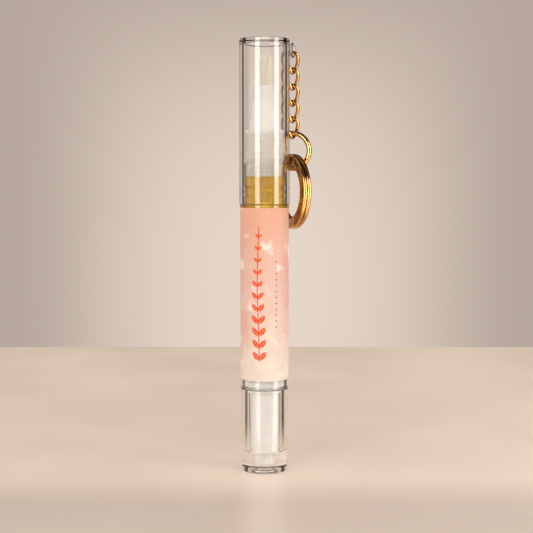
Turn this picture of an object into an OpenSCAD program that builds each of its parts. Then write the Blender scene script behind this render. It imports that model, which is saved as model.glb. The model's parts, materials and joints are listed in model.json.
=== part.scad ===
// Twist-up cuticle oil pen with a clear cap, a curb chain, a jump ring and a split key ring.
// Millimetres. +Z runs up the pen's axis; the origin is the centre of the knob's flat foot.
// The chain hangs on an upright line at distance chain_rho and angle chain_angle from the axis.

/* [Knob] */
// Height of the clear turning knob
knob_h = 21.4; // [16:0.1:26]
// How far the knob's open top lies inside the barrel's outline
knob_step = 0.2; // [0:0.05:0.5]
// How much the knob narrows from its top to its foot
knob_taper = 0.2; // [0:0.05:0.6]
// Wall of the knob at its open top
knob_wall = 1.85; // [1.2:0.05:2.2]
// Thickness of the knob's solid foot
knob_floor = 5.1; // [3:0.1:7]
// Rounding of the knob's lower edge
knob_edge = 0.3; // [0.2:0.1:1]
// Radius of the shallow groove's inner side in the foot
foot_groove_r = 1.9; // [1.2:0.1:2.6]
// Width of the groove in the foot
foot_groove_w = 0.5; // [0.2:0.1:1]
// Depth of the groove in the foot
foot_groove_d = 0.35; // [0.1:0.05:0.8]
// Gap between the knob and the barrel
knob_gap = 0.2; // [0.1:0.05:0.5]

/* [Barrel] */
// Wall of the barrel round the thread nut
seat_wall = 1.1; // [0.8:0.05:1.6]
// Step from the barrel's shoulder in to the neck
neck_step = 1.0; // [0.8:0.05:1.4]
// Wall of the neck round the oil chamber
neck_wall = 0.55; // [0.4:0.05:0.9]
// Height of the barrel from its lower end to the shoulder
barrel_h = 46.9; // [40:0.1:60]
// Height of the bare collar below the label
collar_h = 2.3; // [1:0.1:5]
// Height of the bare ring above the label
shoulder_h = 0.75; // [0.4:0.05:3]
// Depth of the label's recess
label_recess = 0.1; // [0.05:0.01:0.2]
// Thickness of the label film
label_t = 0.08; // [0.04:0.01:0.15]
// Angle left open at the label's back seam
label_seam_angle = 4; // [1:0.5:12]
// Height of the neck above the shoulder
neck_h = 10.5; // [8:0.1:14]
// Depth of the wider bore from the barrel's lower end
seat_h = 16; // [14:0.1:18]
// Small chamfer of the moulded edges
edge = 0.15; // [0.05:0.05:0.3]
// Height of the neck's snap lugs
bead_h = 2.1; // [1.4:0.1:2.6]
// Height of the snap lugs' lower side above the shoulder
bead_z = 2.2; // [1.5:0.1:3.5]
// Clearance between the snap lugs' crests and the cap's bore
bead_gap = 0.02; // [0.01:0.01:0.05]
// Number of snap lugs
bead_count = 4; // [3:1:6]
// Length of a snap lug round the neck
bead_len = 7.2; // [3:0.1:8]

/* [Cap] */
// Room between the bristle tips and the cap's ceiling
brush_room = 2.8; // [1:0.1:6]
// How far the cap's open rim stands out of the barrel's outline
cap_step = 0.18; // [0:0.02:0.6]
// How much the cap narrows from its rim to its closed top
cap_taper = 0.06; // [0:0.02:0.3]
// Clearance between the neck and the cap's bore
cap_fit = 0.1; // [0.08:0.01:0.2]
// Thickness of the cap's roof
cap_roof = 1.2; // [0.8:0.1:2]
// Rounding of the cap's top edge
cap_edge = 0.6; // [0.2:0.1:1]
// Gap between the cap's rim and the barrel's shoulder
cap_gap = 0.1; // [0.05:0.05:0.3]
// Depth of the snap groove inside the cap
groove_d = 0.1; // [0.05:0.05:0.3]
// Radius of the round dimple in the cap's ceiling
dimple_r = 1.2; // [0.6:0.1:2]
// Depth of the dimple in the ceiling
dimple_d = 0.25; // [0.1:0.05:0.5]

/* [Cap eyelet] */
// Free play of the first link's wire in the eyelet's hole
eye_play = 0.64; // [0.1:0.02:0.8]
// Radius of the eyelet's round bar
eye_bar_r = 0.4; // [0.35:0.01:0.5]
// Thickness of the web that joins the eyelet to the cap
eye_web_t = 0.6; // [0.4:0.05:0.7]
// Depth of the web's root below the middle of the eyelet
eye_root = 2.5; // [1.8:0.1:3]
// Angle of the eyelet's plane, from +X towards +Y
eyelet_angle = 72; // [66:1:76]

/* [Nozzle and brush] */
// Height of the nozzle's plug inside the neck
plug_h = 3.4; // [2:0.1:5]
// Clearance between the plug and the neck's bore
plug_fit = 0.02; // [0.01:0.01:0.1]
// How far the nozzle's body lies inside the neck's outline
body_step = 0.35; // [0.2:0.05:0.45]
// Height of the nozzle's body above the neck
body_h = 7; // [5:0.1:9]
// How far the body's fine rings stand out
rib_out = 0.08; // [0.03:0.01:0.12]
// Height of a fine ring
rib_h = 0.45; // [0.2:0.05:0.8]
// Number of fine rings
rib_count = 4; // [2:1:6]
// How far the flange below the cone lies inside the neck's outline
flange_step = 0.2; // [0.05:0.05:0.3]
// Height of the flange
flange_h = 1.3; // [0.8:0.1:2]
// Step from the flange in to the cone's foot
cone_step = 0.85; // [0.4:0.05:1.2]
// Wall of the cone's tip round the brush
tip_wall = 0.6; // [0.4:0.05:0.9]
// Height of the cone
cone_h = 11.1; // [8:0.1:13]
// Wall of the nozzle
nozzle_wall = 0.8; // [0.5:0.05:1]
// Radius of the bristle bundle
brush_r = 2.0; // [1.8:0.05:2.2]
// Depth of the brush seat
brush_seat_h = 2.4; // [1.5:0.1:4]
// Clearance between the bristle bundle and its seat
brush_gap = 0.05; // [0.03:0.01:0.12]
// Height of the bristles above the nozzle's tip
brush_h = 7.7; // [6:0.1:9]
// Height of the dome that the bristle tips form
brush_dome = 0.75; // [0.3:0.05:1.2]
// Thickness of the fused slice that backs the bristles
brush_back = 0.5; // [0.3:0.05:1]
// Distance between neighbouring bristles
bristle_pitch = 0.2; // [0.19:0.005:0.23]
// Half diagonal of a square bristle
bristle_r = 0.085; // [0.07:0.005:0.09]
// Radius of the oil feed tube's bore
feed_bore_r = 0.5; // [0.3:0.05:0.7]
// Wall of the feed tube
feed_wall = 0.45; // [0.3:0.05:0.6]
// How far the feed tube reaches down into the oil
feed_tail = 6.5; // [3:0.1:6.6]
// Thickness of the disc that closes the nozzle's plug
feed_disc_t = 1.4; // [0.8:0.1:2]

/* [Drive] */
// Height of the threaded boss in the nut
nut_boss_h = 4.8; // [3:0.1:6]
// Wall of the nut round the ratchet ring
nut_wall = 1.2; // [0.8:0.05:1.6]
// How far the lip at the skirt's mouth reaches inwards
nut_lip_w = 0.47; // [0.3:0.01:0.6]
// Height of the lip at the skirt's mouth
nut_lip_h = 0.7; // [0.4:0.05:1]
// How far the nut's mouth lies inside the barrel's end
nut_inset = 0.6; // [0.3:0.05:1.5]
// Radius of the sleeve's foot in the knob
foot_r = 1.7; // [1.2:0.05:2]
// Height of the sleeve's foot
foot_h = 3.1; // [1.5:0.1:4]
// Height of the sleeve's centring disc in the knob's mouth
disc_h = 0.9; // [0.5:0.1:2]
// Height of the sleeve's retaining flange
hub_h = 1.2; // [0.8:0.1:2]
// Wall of the sleeve's upper tube
tube_wall = 0.65; // [0.5:0.05:0.9]
// Room that the sleeve's springy arms take outside that tube
pawl_room = 0.65; // [0.55:0.05:0.9]
// Height of the grip zone that turns the rod
grip_h = 5; // [3:0.1:6]
// Height of the ratchet ring
ratchet_h = 2.8; // [2:0.1:4]
// Number of ratchet teeth
tooth_count = 16; // [10:1:24]
// Depth of the ratchet teeth
tooth_depth = 0.3; // [0.15:0.05:0.4]
// Wall of the ratchet ring behind its teeth
ratchet_wall = 0.45; // [0.3:0.05:0.6]
// Radius of the threaded rod
rod_r = 1.5; // [1.3:0.05:1.7]
// Depth of the rod's two flats
rod_flat_cut = 0.4; // [0.2:0.05:0.6]
// How far the rod's head stands out of the rod
head_step = 0.5; // [0.3:0.05:0.7]
// Height of the rod's head
head_h = 1.0; // [0.6:0.1:1.4]
// Depth of the neck turned into the rod below its head
rod_neck_cut = 0.4; // [0.2:0.05:0.6]
// Height of the piston
piston_h = 7; // [5:0.1:9]
// Height of each sealing lip
lip_h = 1.2; // [0.8:0.1:1.6]
// Depth of the piston's waist between its lips
waist_cut = 0.4; // [0.2:0.05:0.8]
// Wall of the piston's skirt
skirt_wall = 1.2; // [0.8:0.1:1.6]
// Radial running clearance of turning and sliding pieces
run_gap = 0.05; // [0.03:0.01:0.08]
// Axial clearance between pieces that turn past each other
face_gap = 0.2; // [0.1:0.05:0.3]

/* [Chain] */
// Gap between the cap and the upright plane that the jump ring hangs in
jump_gap = 0.14; // [0.1:0.01:1]
// Angle of the chain round the pen, from +X towards +Y
chain_angle = 36.1; // [33:0.1:40]
// Height of the eyelet's crossing with the first link, below the cap's top
chain_drop = 3.25; // [3.1:0.05:4.5]
// Pitch of the links
link_pitch = 4.15; // [3.9:0.05:4.6]
// Radius of the links' wire
link_wire_r = 0.46; // [0.35:0.01:0.48]
// Free width inside a link beside the wire of the next one
link_play = 0.58; // [0.4:0.02:0.7]
// Clearance where one link hangs in the next
link_gap = 0.07; // [0.05:0.01:0.15]
// Radius of the jump ring's centreline
jump_r = 4.55; // [4:0.05:4.7]
// Radius of the jump ring's wire
jump_wire_r = 0.65; // [0.5:0.01:0.66]
// Angle of the butt joint where the jump ring was closed
jump_cut_angle = 1; // [0.5:0.5:3]
// Outer radius of the split ring
split_r = 9.8; // [9:0.1:12]
// Radial width of the split ring's wire
split_w = 2.9; // [2.2:0.1:3.2]
// Thickness of the split ring across both turns
split_t = 2.3; // [1.8:0.1:2.6]
// Seam between the split ring's two turns
split_seam = 0.07; // [0.05:0.01:0.15]
// Angle of the split ring's flat side, from +X towards +Y
split_angle = 23; // [15:1:24]
// Clearance where the split ring hangs on the jump ring
split_gap = 0.07; // [0.05:0.01:0.5]

/* [Hidden] */
$fn = 96;
over = 0.5;
arc_steps = 5;

// radii, from the rod in the middle out to the cap
sleeve_bore_r = rod_r + 5*run_gap;
tube_r = sleeve_bore_r + tube_wall;
pawl_r = tube_r + pawl_room;
tooth_tip_r = pawl_r + 2*run_gap;
tooth_root_r = tooth_tip_r + tooth_depth;
nut_skirt_r = tooth_root_r + ratchet_wall;
nut_lip_r = nut_skirt_r - nut_lip_w;
stem_r = nut_lip_r - run_gap;
hub_r = nut_skirt_r - 2*run_gap;
seat_r = nut_skirt_r + nut_wall;
barrel_r = seat_r + seat_wall;
label_seat_r = barrel_r - label_recess;
neck_r = barrel_r - neck_step;
chamber_r = neck_r - neck_wall;
knob_r = barrel_r - knob_step;
knob_base_r = knob_r - knob_taper;
knob_bore_r = knob_r - knob_wall;
cap_r = barrel_r + cap_step;
cap_top_r = cap_r - cap_taper;
cap_bore_r = neck_r + cap_fit;
bead_r = cap_bore_r - bead_gap;

// heights of the knob, barrel and cap
barrel_z = knob_h + knob_gap;
collar_z = barrel_z + collar_h;
shoulder_z = barrel_z + barrel_h;
label_top_z = shoulder_z - shoulder_h;
neck_z = shoulder_z + neck_h;
seat_z = barrel_z + seat_h;
cap_z = shoulder_z + cap_gap;
bead_low_z = shoulder_z + bead_z;
bead_high_z = bead_low_z + bead_h;
groove_margin = 2*cap_gap;

// heights and radii of the nozzle and the brush
plug_z = neck_z - plug_h;
flange_z = neck_z + body_h;
cone_z = flange_z + flange_h;
tip_z = cone_z + cone_h;
brush_seat_z = tip_z - brush_seat_h;
brush_top_z = tip_z + brush_h;
cap_top_z = brush_top_z + brush_room + cap_roof;
plug_r = chamber_r - plug_fit;
plug_bore_r = chamber_r - nozzle_wall;
body_r = neck_r - body_step;
flange_r = neck_r - flange_step;
cone_r = flange_r - cone_step;
brush_seat_r = brush_r + brush_gap;
tip_r = brush_seat_r + tip_wall;
seat_lip = nozzle_wall/2;
feed_r = feed_bore_r + feed_wall;
bristle_field_r = brush_r - bristle_r;
bristle_rows = ceil(bristle_field_r/bristle_pitch*2/sqrt(3));
feed_low_z = plug_z - feed_tail;

// heights and radii of the drive
nut_z = barrel_z + nut_inset;
nut_roof_z = seat_z - nut_boss_h;
hub_z = nut_z + nut_lip_h + face_gap;
ratchet_z = hub_z + hub_h + face_gap;
tube_top_z = nut_roof_z - face_gap;
foot_z = knob_floor - foot_h;
disc_low_z = knob_h - disc_h;
thread_bore_r = rod_r + run_gap;
rod_flat = rod_r - rod_flat_cut;
grip_r = rod_r + 2*run_gap;
grip_flat = rod_flat + run_gap;
grip_z = tube_top_z - grip_h;
sleeve_bore_z = knob_floor + 3*face_gap;
pawl_t = pawl_room/2;
pawl_angle = 75;
pawl_root_angle = 16;
pawl_tip_angle = 8;
piston_z = seat_z + 2*face_gap;
piston_top_z = piston_z + piston_h;
lip_r = chamber_r - run_gap;
waist_r = lip_r - waist_cut;
head_r = rod_r + head_step;
rod_neck_r = rod_r - rod_neck_cut;
head_z = piston_z + lip_h;
head_seat_r = head_r + run_gap;
neck_hole_r = rod_neck_r + run_gap;
skirt_r = waist_r - skirt_wall;
rod_z = sleeve_bore_z + face_gap/2;
rod_shoulder_z = piston_z - face_gap/2;
oil_z = piston_top_z + run_gap;

// the chain: every crossing lies on one vertical line
link_count = 5;
chain_rho = (cap_r + jump_wire_r + jump_gap)/cos(eyelet_angle - chain_angle);
chain_x = chain_rho*cos(chain_angle);
chain_y = chain_rho*sin(chain_angle);
link_half_w = 2*link_wire_r + link_play;
link_half_h = (link_pitch + 2*link_wire_r + link_gap)/2;
link_power = 2.5;
twist_angle = 45;
link_rings = 28;
link_sides = 8;
first_crossing_z = cap_top_z - chain_drop;
flat_link_angle = eyelet_angle - 90 + twist_angle;
eye_r = link_wire_r + eye_bar_r + eye_play;
eye_z = first_crossing_z - eye_bar_r - link_gap/2 + eye_r;
last_link_low_z = link_z(link_count) - link_half_h;
jump_z = last_link_low_z + link_wire_r + jump_wire_r + link_gap - jump_r;
jump_angle = eyelet_angle - 90;
split_in_r = split_r - split_w;
// the jump ring curves up by this much where it leaves the split ring's faces
crossing_rise = pow(split_t/2/cos(split_angle - jump_angle), 2)/(2*jump_r);
split_z = jump_z - jump_r + jump_wire_r + crossing_rise + split_gap - split_in_r;
split_layer_t = (split_t - split_seam)/2;
split_step_angle = 6;
split_ramp_angle = 30;
split_place_angle = 200;
split_round = 0.45*split_layer_t;
jump_place_angle = 215;

function link_z(k) = first_crossing_z - (k - 0.5)*link_pitch;

// points of an arc in a plane, from angle a0 to a1
function arc(c, r, a0, a1, n = arc_steps) =
    [for (i = [0:n]) let (a = a0 + (a1 - a0)*i/n) c + r*[cos(a), sin(a)]];

function unit(v) = v/norm(v);

// a solid skin over a list of equal rings of points, closed on itself or capped at both ends
module skin(rings, closed) {
    count = len(rings);
    sides = len(rings[0]);
    last = closed ? count - 1 : count - 2;
    walls = [for (i = [0:last], j = [0:sides - 1])
        let (a = i*sides + j, b = i*sides + (j + 1)%sides,
             c = ((i + 1)%count)*sides + (j + 1)%sides, d = ((i + 1)%count)*sides + j)
        each [[a, b, c], [a, c, d]]];
    caps = closed ? [] : [[for (j = [sides - 1:-1:0]) j],
        [for (j = [0:sides - 1]) (count - 1)*sides + j]];
    polyhedron(points = [for (ring = rings) each ring], faces = concat(walls, caps));
}

// a link's centreline: a rounded oval, twisted about its long axis so that it lies flat in the chain
function link_point(t, z) = let (
        w = link_half_w, h = link_half_h,
        a = atan2(h*sin(t), w*cos(t)),
        r = pow(pow(abs(cos(a)/w), link_power) + pow(abs(sin(a)/h), link_power), -1/link_power),
        turn = flat_link_angle - twist_angle*r*sin(a)/h)
    [chain_x + r*cos(a)*cos(turn), chain_y + r*cos(a)*sin(turn), z + r*sin(a)];

function link_ring(t, z) = let (
        p = link_point(t, z),
        along = unit(link_point(t + 1, z) - link_point(t - 1, z)),
        out = p - [chain_x, chain_y, z],
        side = unit(out - (out*along)*along),
        up = cross(along, side))
    [for (j = [0:link_sides - 1]) let (a = 360*(j + 0.5)/link_sides)
        p + link_wire_r*(cos(a)*side - sin(a)*up)];

module link(k) {
    color("goldenrod")
        skin([for (i = [0:link_rings - 1]) link_ring(360*(i + 0.5)/link_rings, link_z(k))], true);
}

module knob() {
    color("gainsboro", 0.5) difference() {
        rotate_extrude() polygon(concat(
            [[0, 0]],
            arc([knob_base_r - knob_edge, knob_edge], knob_edge, -90, 0),
            [[knob_r, knob_h - edge], [knob_r - edge, knob_h], [knob_bore_r, knob_h],
             [knob_bore_r, knob_floor], [foot_r, knob_floor], [foot_r, foot_z], [0, foot_z]]));
        rotate_extrude() translate([foot_groove_r, -over])
            square([foot_groove_w, over + foot_groove_d]);
    }
}

module drive_sleeve() {
    color("whitesmoke") difference() {
        union() {
            rotate_extrude() polygon([
                [0, foot_z], [foot_r, foot_z], [foot_r, knob_floor], [stem_r, knob_floor],
                [stem_r, disc_low_z], [knob_bore_r, disc_low_z], [knob_bore_r, knob_h - edge],
                [stem_r, knob_h - edge], [stem_r, hub_z], [hub_r, hub_z], [hub_r, hub_z + hub_h],
                [tube_r, hub_z + hub_h], [tube_r, tube_top_z], [0, tube_top_z]]);
            for (side = [0, 180]) rotate(side) pawl();
        }
        translate([0, 0, sleeve_bore_z]) cylinder(r = sleeve_bore_r, h = grip_z - sleeve_bore_z);
        flatted_cylinder(grip_r, grip_flat, grip_z - over, tube_top_z + over);
    }
}

// one springy arm that clicks over the ratchet teeth
module pawl() {
    low = ratchet_z + edge;
    tall = ratchet_h - 2*edge;
    translate([0, 0, low]) {
        rotate_extrude(angle = pawl_angle) translate([pawl_r - pawl_t, 0]) square([pawl_t*0.6, tall]);
        rotate_extrude(angle = pawl_root_angle) translate([tube_r - pawl_t/2, 0])
            square([pawl_r - tube_r, tall]);
        rotate(pawl_angle - pawl_tip_angle) rotate_extrude(angle = pawl_tip_angle)
            translate([pawl_r - pawl_t, 0]) square([pawl_t, tall]);
    }
}

// a round bar with two flats, from height low to high
module flatted_cylinder(r, flat, low, high) {
    intersection() {
        translate([0, 0, low]) cylinder(r = r, h = high - low);
        translate([-flat, -2*r, low - over]) cube([2*flat, 4*r, high - low + 2*over]);
    }
}

module threaded_rod() {
    color("white") {
        flatted_cylinder(rod_r, rod_flat, rod_z, rod_shoulder_z);
        translate([0, 0, rod_shoulder_z - over])
            cylinder(r = rod_neck_r, h = head_z + face_gap - rod_shoulder_z + 2*over);
        translate([0, 0, head_z + face_gap/2]) cylinder(r = head_r, h = head_h);
    }
}

module piston() {
    color("white") rotate_extrude() polygon([
        [neck_hole_r, piston_z], [head_r, piston_z], [head_r, piston_z + lip_h/2],
        [skirt_r, piston_z + lip_h/2], [skirt_r, piston_z], [lip_r, piston_z],
        [lip_r, piston_z + lip_h], [waist_r, piston_z + 1.5*lip_h],
        [waist_r, piston_top_z - 1.75*lip_h], [lip_r, piston_top_z - 1.25*lip_h],
        [lip_r, piston_top_z - lip_h/4], [lip_r - lip_h/4, piston_top_z], [0, piston_top_z],
        [0, head_z + face_gap + head_h], [head_seat_r, head_z + face_gap + head_h],
        [head_seat_r, head_z], [neck_hole_r, head_z]]);
}

module thread_nut() {
    color("ghostwhite") rotate_extrude() polygon([
        [nut_lip_r, nut_z], [seat_r, nut_z], [seat_r, seat_z], [thread_bore_r, seat_z],
        [thread_bore_r, nut_roof_z], [nut_skirt_r, nut_roof_z], [nut_skirt_r, nut_z + nut_lip_h],
        [nut_lip_r, nut_z + nut_lip_h]]);
}

module ratchet_ring() {
    tooth_a = 360/tooth_count;
    color("lightgray") translate([0, 0, ratchet_z]) difference() {
        cylinder(r = nut_skirt_r, h = ratchet_h);
        translate([0, 0, -over]) linear_extrude(ratchet_h + 2*over) polygon([
            for (i = [0:tooth_count - 1]) each [
                tooth_tip_r*[cos(i*tooth_a), sin(i*tooth_a)],
                tooth_root_r*[cos(i*tooth_a), sin(i*tooth_a)]]]);
    }
}

module barrel() {
    color("whitesmoke", 0.4) union() {
        rotate_extrude() polygon([
            [seat_r, barrel_z], [barrel_r - edge, barrel_z], [barrel_r, barrel_z + edge],
            [barrel_r, collar_z], [label_seat_r, collar_z], [label_seat_r, label_top_z],
            [barrel_r, label_top_z], [barrel_r, shoulder_z - edge], [barrel_r - edge, shoulder_z],
            [neck_r, shoulder_z], [neck_r, neck_z - edge], [neck_r - edge, neck_z],
            [chamber_r, neck_z], [chamber_r, seat_z], [seat_r, seat_z]]);
        for (i = [0:bead_count - 1]) rotate((i + 0.5)*360/bead_count) snap_lug();
    }
}

// one lens-shaped lug on the neck, cut from a ring with a rounded crest
module snap_lug() {
    middle = (bead_low_z + bead_high_z)/2;
    intersection() {
        rotate_extrude() polygon([
            [neck_r - edge, bead_low_z], [neck_r, bead_low_z], [bead_r, middle - bead_h/4],
            [bead_r, middle + bead_h/4], [neck_r, bead_high_z], [neck_r - edge, bead_high_z]]);
        rotate([90, 0, 90]) linear_extrude(2*neck_r) polygon([
            [-bead_len/2, middle], [-bead_len/5, bead_low_z], [bead_len/5, bead_low_z],
            [bead_len/2, middle], [bead_len/5, bead_high_z], [-bead_len/5, bead_high_z]]);
    }
}

module label() {
    color("peachpuff") rotate(90 + label_seam_angle/2) rotate_extrude(angle = 360 - label_seam_angle)
        translate([label_seat_r, collar_z]) square([label_t, label_top_z - collar_z]);
}

module oil() {
    color("gold", 0.6) difference() {
        translate([0, 0, oil_z]) cylinder(r = chamber_r, h = plug_z - oil_z);
        translate([0, 0, feed_low_z]) cylinder(r = feed_r, h = feed_tail + over);
    }
}

module feed_tube() {
    color("whitesmoke", 0.6) difference() {
        rotate_extrude() polygon(concat(
            [[0, feed_low_z]],
            arc([feed_r - 2*edge, feed_low_z + 2*edge], 2*edge, -90, 0),
            [[feed_r, plug_z], [plug_bore_r, plug_z], [plug_bore_r, plug_z + feed_disc_t],
             [feed_r, plug_z + feed_disc_t], [feed_r, brush_seat_z], [0, brush_seat_z]]));
        translate([0, 0, feed_low_z - over])
            cylinder(r = feed_bore_r, h = brush_seat_z - feed_low_z + 2*over);
    }
}

module nozzle() {
    rib_pitch = body_h/(rib_count + 0.5);
    inner_tip_r = brush_seat_r - seat_lip;
    color("white", 0.6) rotate_extrude() polygon(concat(
        [[plug_bore_r, plug_z], [plug_r, plug_z], [plug_r, neck_z]],
        [for (i = [0:rib_count - 1]) let (z = neck_z + (i + 0.5)*rib_pitch)
            each [[body_r, z], [body_r + rib_out, z + rib_h/4],
                  [body_r + rib_out, z + 3*rib_h/4], [body_r, z + rib_h]]],
        [[body_r, flange_z], [flange_r, flange_z], [flange_r, cone_z - edge],
         [flange_r - edge, cone_z], [cone_r, cone_z], [tip_r, tip_z - edge], [tip_r - edge, tip_z],
         [brush_seat_r, tip_z], [brush_seat_r, brush_seat_z], [inner_tip_r, brush_seat_z],
         [inner_tip_r, brush_seat_z - seat_lip], [cone_r - nozzle_wall, cone_z],
         [plug_bore_r, cone_z - flange_h]]));
}

// square bristles in rows, fused to the slice that backs them, with domed tips
module brush() {
    color("wheat") union() {
        translate([0, 0, brush_seat_z]) cylinder(r = brush_r, h = brush_back);
        for (row = [-bristle_rows:bristle_rows], step = [-2*bristle_rows:2*bristle_rows]) {
            x = bristle_pitch*(step + (row%2 == 0 ? 0 : 0.5));
            y = bristle_pitch*row*sqrt(3)/2;
            out_share = (x*x + y*y)/(bristle_field_r*bristle_field_r);
            if (out_share <= 1)
                translate([x, y, brush_seat_z + brush_back/2]) cylinder(r = bristle_r, $fn = 4,
                    h = brush_top_z - brush_seat_z - brush_back/2
                        - brush_dome*(1 - sqrt(1 - out_share)));
        }
    }
}

module cap() {
    ceiling_z = cap_top_z - cap_roof;
    color("white", 0.3) {
        rotate_extrude() polygon(concat(
            [[cap_bore_r + edge, cap_z], [cap_r - edge, cap_z], [cap_r, cap_z + edge]],
            arc([cap_top_r - cap_edge, cap_top_z - cap_edge], cap_edge, 0, 90),
            [[0, cap_top_z], [0, ceiling_z + dimple_d], [dimple_r, ceiling_z + dimple_d],
             [dimple_r, ceiling_z], [cap_bore_r, ceiling_z],
             [cap_bore_r, bead_high_z + groove_margin],
             [cap_bore_r + groove_d, bead_high_z - groove_margin],
             [cap_bore_r + groove_d, bead_low_z + groove_margin],
             [cap_bore_r, bead_low_z - groove_margin], [cap_bore_r, cap_z + edge]]));
        eyelet();
    }
}

// the moulded eyelet: a round ring on a web that runs back to the cap's wall
module eyelet() {
    root_r = (cap_top_r + cap_bore_r)/2;
    plane_gap = chain_rho*sin(eyelet_angle - chain_angle);
    web_len = chain_rho*cos(eyelet_angle - chain_angle) - sqrt(root_r*root_r - plane_gap*plane_gap);
    root_top = cap_top_z - cap_edge - edge - eye_z;
    translate([chain_x, chain_y, eye_z]) rotate(eyelet_angle) {
        rotate([90, 0, 0]) rotate_extrude() translate([eye_r, 0]) circle(r = eye_bar_r, $fn = 48);
        difference() {
            rotate([90, 0, 0]) translate([0, 0, -eye_web_t/2]) linear_extrude(eye_web_t) polygon([
                [-web_len, -eye_root], [-eye_bar_r, -eye_r], [-eye_bar_r, eye_r], [-web_len, root_top]]);
            translate([0, over, 0]) rotate([90, 0, 0]) cylinder(r = eye_r - eye_bar_r/2, h = 2*over);
        }
    }
}

module jump_ring() {
    color("goldenrod") translate([chain_x, chain_y, jump_z]) rotate(jump_angle) rotate([90, 0, 0])
        rotate(jump_place_angle) rotate_extrude(angle = 360 - jump_cut_angle)
            translate([jump_r, 0]) circle(r = jump_wire_r, $fn = 48);
}

// the split ring: one flat wire wound twice, stepping from the first turn to the second on a ramp
function split_section(lift) = let (
        w = split_w/2 - split_round, h = split_layer_t/2 - split_round,
        middle = split_r - split_w/2)
    [for (corner = [[w, h, 0], [-w, h, 90], [-w, -h, 180], [w, -h, 270]])
        each [for (a = [0, 45, 90]) [middle + corner[0] + split_round*cos(corner[2] + a),
                         lift + corner[1] + split_round*sin(corner[2] + a)]]];

function split_lift_at(a) = let (
        travel = (split_layer_t + split_seam)/2,
        share = max(0, min(1, (a - 360)/split_ramp_angle + 0.5)))
    travel*(2*share - 1);

module split_ring() {
    start = split_ramp_angle/2 + 1;
    steps = round((720 - 2*start)/split_step_angle);
    color("goldenrod") translate([chain_x, chain_y, split_z]) rotate(split_angle - 90) rotate([90, 0, 0])
        rotate(split_place_angle) skin([for (i = [0:steps]) let (a = start + (720 - 2*start)*i/steps)
            [for (p = split_section(split_lift_at(a))) [p[0]*cos(a), p[0]*sin(a), p[1]]]], false);
}

knob();
drive_sleeve();
threaded_rod();
piston();
thread_nut();
ratchet_ring();
barrel();
label();
oil();
feed_tube();
nozzle();
brush();
cap();
link(1);  // chain_link_1
link(2);  // chain_link_2
link(3);  // chain_link_3
link(4);  // chain_link_4
link(5);  // chain_link_5
jump_ring();
split_ring();
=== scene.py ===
"""A twist-up cuticle oil pen with a curb chain and a split key ring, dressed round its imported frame.

Profiles are written in millimetres in the frame's own axes, and become metres where a mesh is made.
"""

import json
import math
import random

import bmesh
import bpy
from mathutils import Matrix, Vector


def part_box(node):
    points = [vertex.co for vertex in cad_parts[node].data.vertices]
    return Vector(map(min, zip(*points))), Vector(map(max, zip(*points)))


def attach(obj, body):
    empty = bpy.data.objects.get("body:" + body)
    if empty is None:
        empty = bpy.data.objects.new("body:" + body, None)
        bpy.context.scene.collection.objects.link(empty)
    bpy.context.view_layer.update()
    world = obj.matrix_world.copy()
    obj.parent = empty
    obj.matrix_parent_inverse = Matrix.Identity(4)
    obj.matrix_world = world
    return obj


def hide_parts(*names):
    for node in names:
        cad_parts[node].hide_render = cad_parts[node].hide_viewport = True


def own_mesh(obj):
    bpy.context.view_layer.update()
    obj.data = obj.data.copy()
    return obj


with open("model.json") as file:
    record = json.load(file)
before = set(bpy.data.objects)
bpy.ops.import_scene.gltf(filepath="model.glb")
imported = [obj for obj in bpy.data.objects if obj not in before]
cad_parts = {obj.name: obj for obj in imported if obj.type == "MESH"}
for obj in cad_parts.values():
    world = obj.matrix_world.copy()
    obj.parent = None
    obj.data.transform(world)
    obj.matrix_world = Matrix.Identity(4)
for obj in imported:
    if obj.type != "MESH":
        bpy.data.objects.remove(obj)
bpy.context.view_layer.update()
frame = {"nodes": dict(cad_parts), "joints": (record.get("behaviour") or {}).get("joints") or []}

MM = 0.001
SMOOTH_BELOW = 32
JOINTS = {joint["name"]: joint for joint in frame["joints"]}
scene = bpy.context.scene


class Value:
    """A number in a node tree; arithmetic on it adds math nodes."""

    def __init__(self, tree, socket):
        self.tree = tree
        self.socket = socket

    def math(self, operation, *others):
        node = self.tree.nodes.new("ShaderNodeMath")
        node.operation = operation
        for entry, other in zip(node.inputs, (self, *others)):
            plug(self.tree, other, entry)
        return Value(self.tree, node.outputs[0])

    def __add__(self, other):
        return self.math("ADD", other)

    def __sub__(self, other):
        return self.math("SUBTRACT", other)

    def __mul__(self, other):
        return self.math("MULTIPLY", other)

    def __truediv__(self, other):
        return self.math("DIVIDE", other)

    def ramp(self, low, high, start=0.0, end=1.0):
        """This value, eased from start at low to end at high."""
        node = self.tree.nodes.new("ShaderNodeMapRange")
        node.interpolation_type = "SMOOTHSTEP"
        plug(self.tree, self, node.inputs[0])
        for entry, number in zip(node.inputs[1:5], (low, high, start, end)):
            plug(self.tree, number, entry)
        return Value(self.tree, node.outputs[0])


def plug(tree, value, entry):
    """Links a value, a socket or a plain number or colour to an input."""
    if isinstance(value, Value):
        value = value.socket
    if isinstance(value, bpy.types.NodeSocket):
        tree.links.new(value, entry)
    else:
        entry.default_value = value


def blend_colour(tree, share, first, second):
    """A mix of two colours, each a socket or a display colour."""
    node = tree.nodes.new("ShaderNodeMix")
    node.data_type = "RGBA"
    plug(tree, share, node.inputs[0])
    for entry, colour in ((node.inputs[6], first), (node.inputs[7], second)):
        plug(tree, rgb(colour) if isinstance(colour, tuple) else colour, entry)
    return node.outputs[2]


def rgb(colour):
    """A display colour, 0 to 255 each, as linear light with an alpha of 1."""
    shares = [value / 255 for value in colour]
    return (*(s / 12.92 if s <= 0.04045 else ((s + 0.055) / 1.055) ** 2.4 for s in shares), 1.0)


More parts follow.
